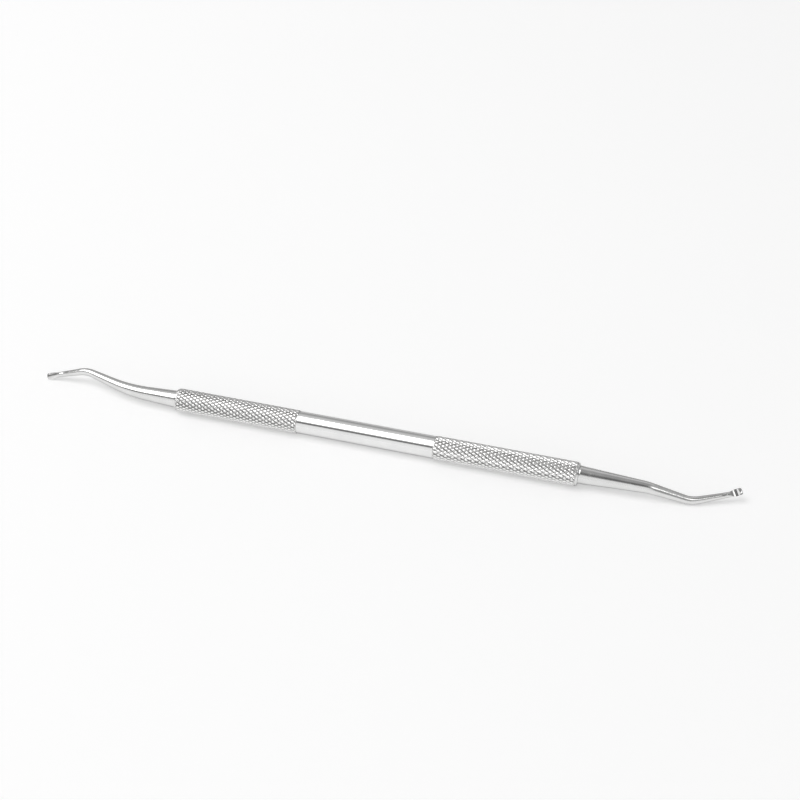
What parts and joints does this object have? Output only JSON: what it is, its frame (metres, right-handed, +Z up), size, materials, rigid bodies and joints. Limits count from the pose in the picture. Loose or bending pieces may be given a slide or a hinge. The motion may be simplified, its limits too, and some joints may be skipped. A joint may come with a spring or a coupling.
{
  "type": "cuticle pusher",
  "caption": "Double-ended steel nail instrument: knurled tube handle with a smooth grip, a bent tapering shank and a small dished blade at each end.",
  "frame": {"origin": "middle of the smooth barrel, on the axis of the handle", "axes": "+X along the handle towards the near working end, +Z up as the tool lies on a table, +Y to the side that both blades lean to"},
  "size_m": [0.1599, 0.0074, 0.0052],
  "materials": {
    "handle_steel": "bright polished stainless steel, rolled diamond knurl",
    "shank_steel": "polished forged stainless steel with fine lengthwise polishing marks",
    "braze": "dull silver braze filler"
  },
  "bodies": {
    "root": {"handle_tube": "handle_steel", "far_working_end": "shank_steel", "near_working_end": "shank_steel", "far_braze_ring": "braze", "near_braze_ring": "braze"}
  },
  "joints": []
}
